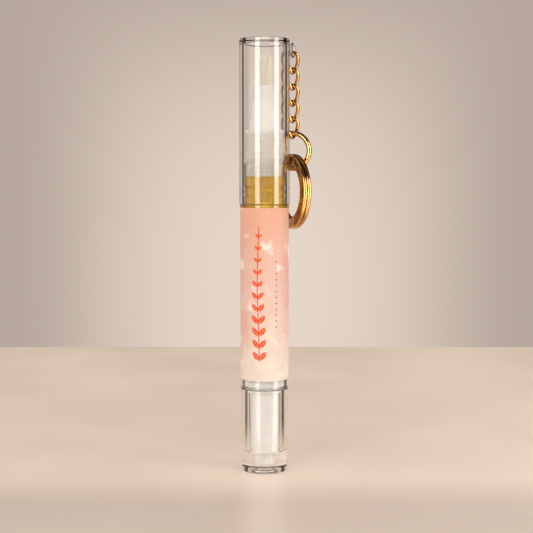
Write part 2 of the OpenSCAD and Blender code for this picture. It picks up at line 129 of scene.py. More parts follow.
def noise(tree, place, scale, detail=3.0, stretch=(1, 1, 1)):
    """Noise over a place in millimetres, as a value from about 0 to 1."""
    mapping = tree.nodes.new("ShaderNodeMapping")
    mapping.inputs["Scale"].default_value = stretch
    plug(tree, place, mapping.inputs["Vector"])
    node = tree.nodes.new("ShaderNodeTexNoise")
    node.inputs["Scale"].default_value = scale
    node.inputs["Detail"].default_value = detail
    plug(tree, mapping.outputs[0], node.inputs["Vector"])
    return Value(tree, node.outputs["Fac"])


def material(name, **settings):
    """A Principled material with plain socket values, with its tree, its shader and a place in mm."""
    made = bpy.data.materials.new(name)
    made.use_nodes = True
    tree = made.node_tree
    shader = tree.nodes["Principled BSDF"]
    for key, value in settings.items():
        shader.inputs[key.replace("_", " ")].default_value = value
    coordinates = tree.nodes.new("ShaderNodeTexCoord")
    scaling = tree.nodes.new("ShaderNodeVectorMath")
    scaling.operation = "SCALE"
    scaling.inputs["Scale"].default_value = 1 / MM
    plug(tree, coordinates.outputs["Object"], scaling.inputs[0])
    return made, tree, shader, scaling.outputs[0]


def paint(tree, shader, colour):
    """Links a colour to the shader's base."""
    plug(tree, colour, shader.inputs["Base Color"])


def rough_and_bump(tree, shader, place, rough, wear_scale, grain_scale, depth, stretch=(1, 1, 1)):
    """Roughness that wanders between two values with wear, and a fine bump of a depth in mm."""
    wear = noise(tree, place, wear_scale, 4.0, stretch).ramp(0.35, 0.7, *rough)
    plug(tree, wear, shader.inputs["Roughness"])
    bump = tree.nodes.new("ShaderNodeBump")
    bump.inputs["Distance"].default_value = depth * MM
    plug(tree, noise(tree, place, grain_scale, 2.0, stretch), bump.inputs["Height"])
    plug(tree, bump.outputs[0], shader.inputs["Normal"])


def pass_lamps(made, tree, shader, tint):
    """Lets the lamps' light through a clear material, so that what is inside is lit."""
    light_path = tree.nodes.new("ShaderNodeLightPath")
    clear = tree.nodes.new("ShaderNodeBsdfTransparent")
    clear.inputs["Color"].default_value = rgb(tint)
    choice = tree.nodes.new("ShaderNodeMixShader")
    plug(tree, light_path.outputs["Is Shadow Ray"], choice.inputs[0])
    plug(tree, shader.outputs[0], choice.inputs[1])
    plug(tree, clear.outputs[0], choice.inputs[2])
    plug(tree, choice.outputs[0], tree.nodes["Material Output"].inputs["Surface"])
    return made


def clear_plastic():
    made, tree, shader, place = material(
        "clear_plastic", Base_Color=rgb((255, 255, 254)), IOR=1.49, Transmission_Weight=1.0)
    rough_and_bump(tree, shader, place, rough=(0.0, 0.01), wear_scale=0.35, grain_scale=0.5,
                   depth=0.0015, stretch=(1, 1, 0.25))
    return pass_lamps(made, tree, shader, (255, 254, 253))


def frosted_plastic():
    """Milky plastic, paler from the cone up, where the wall is thin."""
    made, tree, shader, place = material("frosted_plastic", IOR=1.5, Transmission_Weight=0.6)
    height = parts(tree, place)[2]
    thin = height.ramp(CONE - 1.2, CONE)
    paint(tree, shader, blend_colour(tree, thin, (240, 236, 230), (255, 253, 250)))
    rough_and_bump(tree, shader, place, rough=(0.05, 0.12), wear_scale=0.5, grain_scale=4.0, depth=0.004)
    return pass_lamps(made, tree, shader, (240, 238, 234))


def white_plastic():
    made, tree, shader, place = material("white_plastic", Subsurface_Weight=0.15, Subsurface_Scale=0.0008)
    shade = noise(tree, place, 0.4).ramp(0.3, 0.7)
    paint(tree, shader, blend_colour(tree, shade, (240, 237, 232), (247, 245, 241)))
    rough_and_bump(tree, shader, place, rough=(0.28, 0.42), wear_scale=0.8, grain_scale=5.0, depth=0.01)
    return made


def oil_material():
    made, tree, shader, place = material("cuticle_oil", IOR=1.47, Transmission_Weight=0.95, Roughness=0.0)
    thick = noise(tree, place, 0.12, 2.0).ramp(0.3, 0.7)
    paint(tree, shader, blend_colour(tree, thick, (255, 222, 84), (250, 208, 62)))
    return pass_lamps(made, tree, shader, (255, 240, 180))


def bristle_material():
    made, tree, shader, place = material("bristle", Subsurface_Weight=0.2, Subsurface_Scale=0.0006)
    streak = noise(tree, place, 3.0, 3.0, (1, 1, 0.06)).ramp(0.3, 0.7)
    paint(tree, shader, blend_colour(tree, streak, (234, 214, 196), (250, 236, 222)))
    rough_and_bump(tree, shader, place, rough=(0.45, 0.6), wear_scale=0.8, grain_scale=9.0,
                   depth=0.01, stretch=(1, 1, 0.1))
    return made


def gold():
    made, tree, shader, place = material("gold_metal", Metallic=1.0)
    tarnish = noise(tree, place, 0.35, 4.0).ramp(0.4, 0.75)
    paint(tree, shader, blend_colour(tree, tarnish, (206, 160, 100), (168, 120, 68)))
    rough_and_bump(tree, shader, place, rough=(0.04, 0.1), wear_scale=0.9, grain_scale=2.5,
                   depth=0.0008, stretch=(1, 1, 0.3))
    return made


def parts(tree, place):
    """The x, y and z of a place, as values."""
    node = tree.nodes.new("ShaderNodeSeparateXYZ")
    plug(tree, place, node.inputs[0])
    return [Value(tree, output) for output in node.outputs]


def label_film():
    """A watercolour wash from salmon down to cream, with a plain leaf sprig in orange and a row of dots."""
    made, tree, shader, place = material("label_film", Specular_IOR_Level=0.06)
    x, y, z = parts(tree, place)
    across = x.math("ARCTAN2", y * -1.0) * LABEL_R
    blotch = noise(tree, place, 0.16, 5.0)
    wash = noise(tree, place, 0.09, 6.0, (1, 1, 0.6))
    fibre = noise(tree, place, 2.2, 6.0)
    height = z + (blotch - 0.5) * 26.0
    paper = blend_colour(tree, height.ramp(26.0, 52.0), (241, 230, 216), (233, 196, 184))
    paper = blend_colour(tree, height.ramp(46.0, 68.0), paper, (233, 182, 153))
    paper = blend_colour(tree, wash.ramp(0.5, 0.66, 0.0, 0.75), paper, (232, 168, 152))
    pale = noise(tree, place, 0.22, 2.0).ramp(0.56, 0.72, 0.0, 0.85)
    paper = blend_colour(tree, pale, paper, (252, 242, 232))
    paper = blend_colour(tree, fibre.ramp(0.4, 0.75, 0.0, 0.22), paper, (216, 158, 128))
    paper = blend_colour(tree, leaf_sprig(across, z), paper, (238, 84, 2))
    paint(tree, shader, blend_colour(tree, dot_row(across, z), paper, (62, 54, 52)))
    rough_and_bump(tree, shader, place, rough=(0.5, 0.65), wear_scale=0.7, grain_scale=3.0, depth=0.006)
    return made


def leaf_sprig(across, z):
    """A mask, 1 on a stem with paired leaves that climbs the label, from the way across and the height."""
    low, high = 29.0, 63.0
    pitch, length, width = 3.1, 3.0, 0.62
    lean = math.radians(38)
    left, sway = 1.6, 0.25
    across = across + left + (z * 0.16).math("SINE") * sway
    steps = (z - low) / pitch
    rise = (steps - steps.math("FLOOR") - 0.08) * pitch
    size = z.ramp(high, low + 8.0, 0.45, 1.0)
    side = across.math("ABSOLUTE")
    along = (side * math.sin(lean) + rise * math.cos(lean)) / size
    off = ((side * math.cos(lean) - rise * math.sin(lean)) / size).math("ABSOLUTE")
    middle = along / (length / 2) - 1.0
    edge = (middle * middle * -1.0 + 1.0) * width
    leaf = (edge - off).ramp(0.0, 0.05)
    vein = off.ramp(0.03, 0.07)
    stem = side.ramp(0.16, 0.1)
    inside = z.ramp(low, low + 0.1) * z.ramp(high + 0.1, high)
    return (leaf * vein).math("MAXIMUM", stem) * inside


def dot_row(across, z):
    """A mask, 1 on a short upright row of small dots beside the sprig."""
    low, high, pitch, radius, right = 37.0, 55.0, 1.5, 0.17, 3.1
    steps = (z - low) / pitch
    rise = (steps - steps.math("FLOOR") - 0.5) * pitch
    side = across - right
    far = (side * side + rise * rise).math("SQRT")
    return far.ramp(radius + 0.05, radius - 0.03) * z.ramp(low, low + 0.1) * z.ramp(high + 0.1, high)


def rounded(corners, closed=False, steps=4):
    """A profile with each corner (r, z, radius) turned into an arc, and support points beside the arcs."""
    most, support, spread = 0.42, 0.12, 0.3
    points = []
    count = len(corners)
    for i, (r, z, radius) in enumerate(corners):
        if radius == 0 or (not closed and i in (0, count - 1)):
            points.append((r, z))
            continue
        corner = Vector((r, z))
        before = Vector(corners[i - 1][:2]) - corner
        after = Vector(corners[(i + 1) % count][:2]) - corner
        half = before.angle(after) / 2
        reach = min(radius / math.tan(half), most * before.length, most * after.length)
        bend = reach * math.tan(half)
        centre = corner + (before.normalized() + after.normalized()).normalized() * bend / math.sin(half)
        start = corner + before.normalized() * reach - centre
        end = corner + after.normalized() * reach - centre
        first = math.atan2(start.y, start.x)
        sweep = (math.atan2(end.y, end.x) - first + math.pi) % (2 * math.pi) - math.pi
        lead = min(support, spread * (before.length - reach))
        tail = min(support, spread * (after.length - reach))
        points.append(tuple(centre + start + before.normalized() * lead))
        for k in range(steps + 1):
            angle = first + sweep * k / steps
            points.append((centre.x + bend * math.cos(angle), centre.y + bend * math.sin(angle)))
        points.append(tuple(centre + end + after.normalized() * tail))
    return points


def lathe(profile, closed=True, segments=144, bulge=None):
    """Points and faces of a profile of (radius, height) turned round the axis, pushed out by bulge."""
    points, faces, rings = [], [], []
    for r, z in profile:
        count = 1 if r < 1e-6 else segments
        rings.append([len(points) + i for i in range(count)])
        for i in range(count):
            angle = 2 * math.pi * i / segments
            out = r + (bulge(angle, r, z) if bulge else 0.0)
            points.append((out * math.cos(angle), out * math.sin(angle), z))
    pairs = list(zip(rings, rings[1:])) + ([(rings[-1], rings[0])] if closed else [])
    for low, high in pairs:
        for i in range(segments):
            j = i + 1
            face = [low[i % len(low)], low[j % len(low)], high[j % len(high)], high[i % len(high)]]
            face = list(dict.fromkeys(face))
            if len(face) > 2:
                faces.append(face)
    return points, faces


def angles(count):
    """The angles of equal steps round a circle, from 0."""
    return [2 * math.pi * i / count for i in range(count)]


def skin(rings, closed):
    """Points and faces over a list of equal rings of points, closed on itself or capped at both ends."""
    sides = len(rings[0])
    points = [point for ring in rings for point in ring]
    faces = []
    for i in range(len(rings) if closed else len(rings) - 1):
        for j in range(sides):
            k = (j + 1) % sides
            low, high = i * sides, (i + 1) % len(rings) * sides
            faces.append([low + j, low + k, high + k, high + j])
    if not closed:
        faces.append(list(range(sides))[::-1])
        faces.append([(len(rings) - 1) * sides + j for j in range(sides)])
    return points, faces


def make_object(name, shape, finish, smooth_below=SMOOTH_BELOW):
    """A mesh object from points in mm, with outward faces and sharp edges kept."""
    points, faces = shape
    mesh = bpy.data.meshes.new(name)
    mesh.from_pydata([[c * MM for c in point] for point in points], [], faces)
    work = bmesh.new()
    work.from_mesh(mesh)
    bmesh.ops.recalc_face_normals(work, faces=work.faces)
    work.to_mesh(mesh)
    work.free()
    mesh.materials.append(finish)
    mesh.shade_smooth()
    mesh.set_sharp_from_angle(angle=math.radians(smooth_below))
    piece = bpy.data.objects.new(name, mesh)
    scene.collection.objects.link(piece)
    return piece


def dress(piece, node, body):
    """Lets a piece stand for its CAD node and move with its body."""
    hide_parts(node)
    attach(piece, body)
    return piece


# heights of the turned pieces
KNOB_TOP = 21.4
KNOB_FLOOR = 5.11
FOOT_SOCKET = 2.0
FOOT_GROOVE = 0.35
BARREL_LOW = 21.6
COLLAR = 23.9
LABEL_TOP = 67.75
SHOULDER = 68.5
NECK_TOP = 79.0
SEAT = 37.6
PLUG = 75.6
FLANGE = 86.0
CONE = 87.3
TIP = 98.4
BRUSH_SEAT = 96.0
BRUSH_TOP = 106.1
CAP_LOW = 68.6
CAP_TOP = 110.1
CEILING = CAP_TOP - 1.2
DIMPLE = CEILING + 0.25
OIL_LOW = 45.05
FEED_LOW = 69.1

# radii of the turned pieces
SOCKET_R = 1.69
KNOB_BORE_R = 4.16
KNOB_R = 6.0
KNOB_BASE_R = 5.8
GROOVE_IN_R = 1.9
GROOVE_OUT_R = 2.4
BARREL_R = 6.2
LABEL_SEAT_R = 6.09
LABEL_R = 6.18
LABEL_T = 0.08
NECK_R = 5.2
CHAMBER_R = 4.65
SEAT_R = 5.12
CAP_R = 6.38
CAP_TOP_R = 6.32
CAP_BORE_R = 5.3
DIMPLE_R = 1.2
PLUG_R = 4.63
SEAL_R = 4.55
NOZZLE_BORE_R = 3.845
BODY_R = 4.85
FLANGE_R = 5.0
CONE_R = 4.15
CONE_BORE_R = 3.35
TIP_R = 2.65
BRUSH_SEAT_R = 2.04
SEAT_LIP_R = 1.65
DISC_R = 3.85
FEED_R = 0.95
FEED_BORE_R = 0.5
BRUSH_R = 2.0

clear = clear_plastic()
frosted = frosted_plastic()
white = white_plastic()
brass = gold()


def knob_profile():
    return rounded([
        (SOCKET_R, FOOT_SOCKET, 0), (SOCKET_R, KNOB_FLOOR, 0.06), (KNOB_BORE_R, KNOB_FLOOR, 0.25),
        (KNOB_BORE_R, KNOB_TOP, 0.1), (KNOB_R, KNOB_TOP, 0.18), (KNOB_BASE_R, 0.0, 0.3),
        (GROOVE_OUT_R, 0.0, 0.08), (GROOVE_OUT_R, FOOT_GROOVE, 0.1), (GROOVE_IN_R, FOOT_GROOVE, 0.1),
        (GROOVE_IN_R, 0.0, 0.08), (0, 0.0, 0), (0, FOOT_SOCKET, 0)])


def ease(share):
    """A share held between 0 and 1, with a smooth start and end."""
    share = max(0.0, min(1.0, share))
    return share * share * (3 - 2 * share)


def lug_bulge(angle, r, z):
    """The lens-shaped snap lugs on the barrel's neck, four round the pen in a shallow groove."""
    low, high, length, rise, count = 70.6, 72.9, 7.4, 0.29, 4
    groove, edge, slope = 0.2, 0.4, 1.6
    if abs(r - NECK_R) > 0.01 or not low - edge < z < high + edge:
        return 0.0
    sunk = -groove * ease(min(z - low + edge, high + edge - z) / edge)
    turn = (angle * count / (2 * math.pi)) % 1.0 - 0.5
    along = turn * 2 * math.pi / count * NECK_R / (length / 2)
    if abs(along) >= 1:
        return sunk
    half = (high - low) / 2 * math.sqrt(1 - along * along)
    return sunk + rise * ease(slope * (1 - abs(z - (low + high) / 2) / half))


def barrel_profile():
    lug_low, lug_step, lug_steps = 70.2, 0.1, 32
    lug_rows = [(NECK_R, lug_low + lug_step * i, 0) for i in range(lug_steps)]
    return rounded([
        (SEAT_R, BARREL_LOW, 0.08), (BARREL_R, BARREL_LOW, 0.16), (BARREL_R, COLLAR, 0.04),
        (LABEL_SEAT_R, COLLAR, 0.02), (LABEL_SEAT_R, LABEL_TOP, 0.02), (BARREL_R, LABEL_TOP, 0.04),
        (BARREL_R, SHOULDER, 0.18), (NECK_R, SHOULDER, 0.15), *lug_rows, (NECK_R, NECK_TOP, 0.15),
        (CHAMBER_R, NECK_TOP, 0.08), (CHAMBER_R, SEAT, 0.1), (SEAT_R, SEAT, 0.1)], closed=True)


def nozzle_profile():
    ring_r, ring_h, ring_count = BODY_R + 0.14, 0.45, 4
    seal_h, seal_slope, soft = 0.4, 0.1, 0.04
    pitch = (FLANGE - NECK_TOP) / (ring_count + 0.5)
    ribs = []
    for i in range(ring_count):
        z = NECK_TOP + (i + 0.5) * pitch
        ribs += [(BODY_R, z, 0.05), (ring_r, z + ring_h / 4, 0.05),
                 (ring_r, z + 3 * ring_h / 4, 0.05), (BODY_R, z + ring_h, 0.05)]
    seals = []
    for z in (PLUG + 0.7, PLUG + 1.7, PLUG + 2.7):
        seals += [(PLUG_R, z, soft), (SEAL_R, z + seal_slope, soft),
                  (SEAL_R, z + seal_h - seal_slope, soft), (PLUG_R, z + seal_h, soft)]
    return rounded([
        (NOZZLE_BORE_R, PLUG + 0.01, 0), (PLUG_R, PLUG + 0.01, 0.1), *seals, (PLUG_R, NECK_TOP + 0.2, 0.1),
        *ribs, (BODY_R, FLANGE, 0.12), (FLANGE_R, FLANGE, 0.12), (FLANGE_R, CONE, 0.2),
        (CONE_R, CONE, 0.15), (TIP_R, TIP, 0.25), (BRUSH_SEAT_R, TIP, 0.15),
        (BRUSH_SEAT_R, BRUSH_SEAT, 0.05), (SEAT_LIP_R, BRUSH_SEAT, 0.05),
        (SEAT_LIP_R, BRUSH_SEAT - 0.4, 0.1), (CONE_BORE_R, CONE, 0.6), (NOZZLE_BORE_R, FLANGE, 0.3)],
        closed=True)


def feed_profile():
    disc = PLUG + 1.4
    return rounded([
        (FEED_BORE_R, FEED_LOW, 0.1), (FEED_R, FEED_LOW, 0.28), (FEED_R, PLUG, 0.2), (DISC_R, PLUG, 0.05),
        (DISC_R, disc, 0.1), (FEED_R, disc, 0.2), (FEED_R, BRUSH_SEAT - 0.01, 0.1),
        (FEED_BORE_R, BRUSH_SEAT - 0.01, 0.1)], closed=True)


def oil_profile():
    rim = CHAMBER_R + 0.02
    return rounded([
        (0, OIL_LOW, 0), (rim, OIL_LOW, 0.1), (rim, PLUG + 0.005, 0.05), (FEED_R - 0.01, PLUG + 0.005, 0),
        (FEED_R - 0.01, FEED_LOW, 0), (0, FEED_LOW, 0)])


def cap_profile():
    groove_low, groove_high, groove_r = 70.4, 73.1, CAP_BORE_R + 0.06
    return rounded([
        (CAP_BORE_R, CAP_LOW, 0.12), (CAP_R, CAP_LOW, 0.15), (CAP_TOP_R, CAP_TOP, 0.3), (0, CAP_TOP, 0),
        (0, DIMPLE, 0), (DIMPLE_R, DIMPLE, 0.1), (DIMPLE_R, CEILING, 0.08),
        (CAP_BORE_R, CEILING, 0.25), (CAP_BORE_R, groove_high, 0.6), (groove_r, groove_high - 0.9, 0.6),
        (groove_r, groove_low + 0.9, 0.6), (CAP_BORE_R, groove_low, 0.6), (CAP_BORE_R, CAP_LOW, 0.12)],
        steps=5)


# the turned clear and frosted pieces
knob = make_object("knob_body_clear", lathe(knob_profile()), clear)
dress(knob, "knob", "knob_body")

barrel = make_object("barrel_clear", lathe(barrel_profile(), bulge=lug_bulge, segments=192), clear)
dress(barrel, "barrel", "barrel_body")

nozzle = make_object("nozzle_frosted", lathe(nozzle_profile()), frosted)
dress(nozzle, "nozzle", "barrel_body")

feed = make_object("feed_tube_frosted", lathe(feed_profile(), segments=72), frosted)
dress(feed, "feed_tube", "barrel_body")

oil = make_object("oil_filling", lathe(oil_profile()), oil_material())
dress(oil, "oil", "barrel_body")
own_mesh(oil)


# the label: a thin film round the barrel with a seam at the back
def label_shape():
    inner, low, high, corner = LABEL_R - LABEL_T, COLLAR + 0.03, LABEL_TOP - 0.03, 0.35
    seam = math.radians(3.4)
    columns, rows = 192, 24
    rings = []
    for i in range(columns + 1):
        angle = math.pi / 2 + seam / 2 + (2 * math.pi - seam) * i / columns
        edge = min(i, columns - i) * (2 * math.pi - seam) / columns * LABEL_R
        cut = corner - math.sqrt(max(0.0, corner ** 2 - max(0.0, corner - edge) ** 2))
        heights = [low + cut + (high - low - 2 * cut) * j / rows for j in range(rows + 1)]
        ring = [(LABEL_R, z) for z in heights] + [(inner, z) for z in reversed(heights)]
        rings.append([(r * math.cos(angle), r * math.sin(angle), z) for r, z in ring])
    return skin(rings, closed=False)


label = make_object("label_wrap", label_shape(), label_film(), smooth_below=50)
label.data.materials.append(white)
for face in label.data.polygons:
    if face.center.x * face.normal.x + face.center.y * face.normal.y < 0:
        face.material_index = 1
dress(label, "label", "barrel_body")


# the brush: fine domed strands on a fused slice
def brush_shape():
    pitch, strand_r, dome, jitter, sway = 0.135, 0.058, 0.75, 0.012, 0.02
    slice_top = BRUSH_SEAT + 0.5
    draw = random.Random(7)
    points, faces = lathe(rounded([(0, BRUSH_SEAT, 0), (BRUSH_R, BRUSH_SEAT, 0.05),
                                   (BRUSH_R, slice_top, 0.05), (0, slice_top, 0)]),
                          closed=False, segments=48)
    rows = int(BRUSH_R / pitch * 2 / math.sqrt(3)) + 1
    for row in range(-rows, rows + 1):
        for step in range(-rows, rows + 1):
            x = pitch * (step + 0.5 * (row % 2)) + draw.uniform(-jitter, jitter)
            y = pitch * row * math.sqrt(3) / 2 + draw.uniform(-jitter, jitter)
            share = (x * x + y * y) / (BRUSH_R - strand_r) ** 2
            if share > 1:
                continue
            top = BRUSH_TOP - dome * (1 - math.sqrt(1 - share)) - draw.uniform(0, 0.12)
            lean = draw.uniform(-sway, sway)
            rings = []
            for z, width in ((BRUSH_SEAT + 0.3, 1.0), (top - 0.25, 0.95), (top - 0.06, 0.75), (top, 0.3)):
                middle = x + lean * (z > TIP)
                out = strand_r * width
                rings.append([(middle + out * math.cos(a), y + out * math.sin(a), z) for a in angles(6)])
            more, sides = skin(rings, closed=False)
            faces += [[index + len(points) for index in face] for face in sides]
            points += more
    return points, faces


brush = make_object("brush_strands", brush_shape(), bristle_material(), smooth_below=65)
dress(brush, "brush", "barrel_body")


# the cap with its moulded eyelet
CHAIN_X, CHAIN_Y = (c / MM for c in JOINTS["link_1_swing"]["pos_m"][:2])
JUMP_AXIS = JOINTS["link_1_swing"]["axis"]
JUMP_ANGLE = math.atan2(JUMP_AXIS[1], JUMP_AXIS[0])
EYE_ANGLE = JUMP_ANGLE + math.pi / 2
LINK_WIRE_R = 0.46
EYE_BAR_R = 0.4
EYE_R = 1.5
EYE_Z = 107.915
WEB_LEN = 4.54


def ring_about(centre, direction, ring_r, wire_r):
    """A torus in the upright plane that a direction lies in, given as an angle about Z."""
    steps, sides = 72, 24
    out = Vector((math.cos(direction), math.sin(direction), 0))
    up = Vector((0, 0, 1))
    side = out.cross(up)
    rings = []
    for a in angles(steps):
        ray = out * math.cos(a) + up * math.sin(a)
        middle = Vector(centre) + ray * ring_r
        rings.append([tuple(middle + (ray * math.cos(b) + side * math.sin(b)) * wire_r)
                      for b in angles(sides)])
    return skin(rings, closed=True)


def web_shape():
    """The web from the cap's wall to the eyelet's ring: waisted in height and in thickness."""
    root_low, root_high, thick, root_flare = -2.5, 1.4, 0.3, 0.22
    steps, sides, power = 20, 24, 0.5
    end_half = EYE_R - 0.1
    length = WEB_LEN - EYE_R + 0.25
    along = Vector((math.cos(EYE_ANGLE), math.sin(EYE_ANGLE), 0))
    across = Vector((-along.y, along.x, 0))
    rings = []
    for i in range(steps + 1):
        share = i / steps
        waist = 1 - (1 - share) ** 2
        low = root_low + (-end_half - root_low) * waist
        high = root_high + (end_half - root_high) * waist
        width = thick + root_flare * (1 - share) ** 3
        middle = Vector((CHAIN_X, CHAIN_Y, EYE_Z + (low + high) / 2))
        middle += along * (-WEB_LEN + length * share)
        ring = []
        for a in angles(sides):
            u = abs(math.cos(a)) ** power * math.copysign(1, math.cos(a)) * width
            v = abs(math.sin(a)) ** power * math.copysign(1, math.sin(a)) * (high - low) / 2
            ring.append(tuple(middle + across * u + Vector((0, 0, v))))
        rings.append(ring)
    return skin(rings, closed=False)


def join_solids(base, *tools):
    """Makes one solid of a base and its tools, and deletes the tools."""
    for tool in tools:
        step = base.modifiers.new("join", "BOOLEAN")
        step.operation = "UNION"
        step.solver = "EXACT"
        step.object = tool
    bpy.context.view_layer.update()
    graph = bpy.context.evaluated_depsgraph_get()
    mesh = bpy.data.meshes.new_from_object(base.evaluated_get(graph))
    base.modifiers.clear()
    base.data = mesh
    for tool in tools:
        bpy.data.objects.remove(tool)
    mesh.shade_smooth()
    mesh.set_sharp_from_angle(angle=math.radians(SMOOTH_BELOW))


cap = make_object("cap_clear", lathe(cap_profile()), clear)
eyelet = make_object(
    "eyelet_ring", ring_about((CHAIN_X, CHAIN_Y, EYE_Z), EYE_ANGLE, EYE_R, EYE_BAR_R), clear)
web = make_object("eyelet_web", web_shape(), clear)
join_solids(cap, web, eyelet)
dress(cap, "cap", "cap_body")


# the chain: rounded oval links, each twisted about its long axis
LINK_COUNT = 5
LINK_TWIST = math.radians(45)
LINK_HALF_W = 2 * LINK_WIRE_R + 0.58
LINK_SKIN_R = LINK_WIRE_R - 0.003


def link_shape(node):
    """A closed rounded oval of round wire, turned from the link above it by the twist."""
    low, high = (corner.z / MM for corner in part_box(node))
    middle = (low + high) / 2
    half_h = (high - low) / 2 - LINK_SKIN_R
    power, steps, sides, nudge = 2.5, 96, 20, 0.01

    def point(t):
        a = math.atan2(half_h * math.sin(t), LINK_HALF_W * math.cos(t))
        r = (abs(math.cos(a) / LINK_HALF_W) ** power + abs(math.sin(a) / half_h) ** power) ** (-1 / power)
        turn = JUMP_ANGLE + LINK_TWIST * (1 - r * math.sin(a) / half_h)
        return Vector((CHAIN_X + r * math.cos(a) * math.cos(turn),
                       CHAIN_Y + r * math.cos(a) * math.sin(turn), middle + r * math.sin(a)))

    rings = []
    for t in angles(steps):
        here = point(t)
        along = (point(t + nudge) - point(t - nudge)).normalized()
        out = here - Vector((CHAIN_X, CHAIN_Y, middle))
        side = (out - along * out.dot(along)).normalized()
        up = along.cross(side)
        rings.append([tuple(here + (side * math.cos(b) + up * math.sin(b)) * LINK_SKIN_R)
                      for b in angles(sides)])
    return skin(rings, closed=True)


for k in range(LINK_COUNT):
    node = f"chain_link_{k + 1}"
    link = make_object(f"{node}_smooth", link_shape(node), brass)
    dress(link, node, f"link_{k + 1}_body")


# the jump ring: round wire bent to a ring, its ends butted
JUMP_WIRE_R = 0.65
JUMP_R = 4.55
JUMP_START = math.radians(215)
JUMP_SWEEP = math.radians(359.2)


def wire_ring(centre, facing, ring_r, section, start, end, steps, lift=None):
    """Wire with a section of (out, along the axis) points, wound round an axis at an angle about Z."""
    out = Vector((math.cos(facing), math.sin(facing), 0))
    up = Vector((0, 0, 1))
    axis = out.cross(up)
    rings = []
    for i in range(steps + 1):
        a = start + (end - start) * i / steps
        ray = out * math.cos(a) + up * math.sin(a)
        shift = lift(a) if lift else 0.0
        rings.append([tuple(Vector(centre) + ray * (ring_r + u) + axis * (v + shift)) for u, v in section])
    return skin(rings, closed=False)


jump_low, jump_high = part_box("jump_ring")
JUMP_Z = (jump_low.z + jump_high.z) / 2 / MM
round_section = [(JUMP_WIRE_R * math.cos(b), JUMP_WIRE_R * math.sin(b)) for b in angles(32)]
jump = make_object("jump_ring_smooth", wire_ring(
    (CHAIN_X, CHAIN_Y, JUMP_Z), JUMP_ANGLE, JUMP_R, round_section,
    JUMP_START, JUMP_START + JUMP_SWEEP, steps=144), brass)
dress(jump, "jump_ring", "jump_ring_body")


# the split ring: flat wire wound twice, stepping over on a ramp
SPLIT_R = 9.66
SPLIT_W = 2.9
SPLIT_T = 2.2
SPLIT_SEAM = 0.05
SPLIT_FACING = math.radians(23 - 90)
SPLIT_LAYER = (SPLIT_T - SPLIT_SEAM) / 2
STEP_ANGLE = 200
STEP_RAMP = 30
END_GAP = 16
split_low, split_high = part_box("split_ring")
SPLIT_Z = (split_low.z + split_high.z) / 2 / MM


def split_section():
    """The flat wire's section, with rounded corners."""
    out, along, corner = SPLIT_W / 2, SPLIT_LAYER / 2, 0.48
    return rounded([
        (out, along, corner), (-out, along, corner), (-out, -along, corner), (out, -along, corner)],
        closed=True, steps=5)


def split_lift(angle):
    """How far the wire lies off the ring's middle, from the first turn over the ramp to the second."""
    share = ease((angle - math.radians(STEP_ANGLE) - 2 * math.pi) / math.radians(STEP_RAMP) + 0.5)
    return (SPLIT_LAYER + SPLIT_SEAM) / 2 * (2 * share - 1)


split_start = math.radians(STEP_ANGLE + END_GAP)
split_end = math.radians(STEP_ANGLE + 720 - END_GAP)
split = make_object("split_ring_smooth", wire_ring(
    (CHAIN_X, CHAIN_Y, SPLIT_Z), SPLIT_FACING, SPLIT_R - SPLIT_W / 2, split_section(),
    split_start, split_end, steps=360, lift=split_lift), brass, smooth_below=40)
dress(split, "split_ring", "split_ring_body")

# the inner pieces keep their CAD solids, in white plastic
for node in ("drive_sleeve", "threaded_rod", "piston", "thread_nut", "ratchet_ring"):
    solid = frame["nodes"][node]
    solid.data.materials.clear()
    solid.data.materials.append(white)


# the floor and the light; directions are degrees round the upright axis, from +Y towards +X
STRIP_TURN = 33
DARK_TURN = 45
DUSK_TURN = 78
EDGE_TURN = 48


def wave(x, y, turn, count=4):
    """A cosine that peaks count times round the upright axis, the first time at a turn."""
    return (x.math("ARCTAN2", y) * float(count) - math.radians(count * turn)).math("COSINE")


def strips(x, y, reach):
    """A bright strip in each quarter turn, faint behind the pen; from -reach to reach in y it fades."""
    return wave(x, y, STRIP_TURN).ramp(0.5, 0.85) * y.ramp(reach, -reach, 0.06, 1.0)


def ray_kinds(tree):
    """1 for a ray in a reflection, one seen through clear plastic, and one that lights the inside."""
    path = tree.nodes.new("ShaderNodeLightPath")
    sharp = Value(tree, path.outputs["Diffuse Depth"]).math("LESS_THAN", 0.5)
    clear_ray = Value(tree, path.outputs["Is Transmission Ray"])
    through = clear_ray * sharp
    shiny = Value(tree, path.outputs["Is Glossy Ray"]) * sharp * (through * -1.0 + 1.0)
    return shiny, through, clear_ray - through


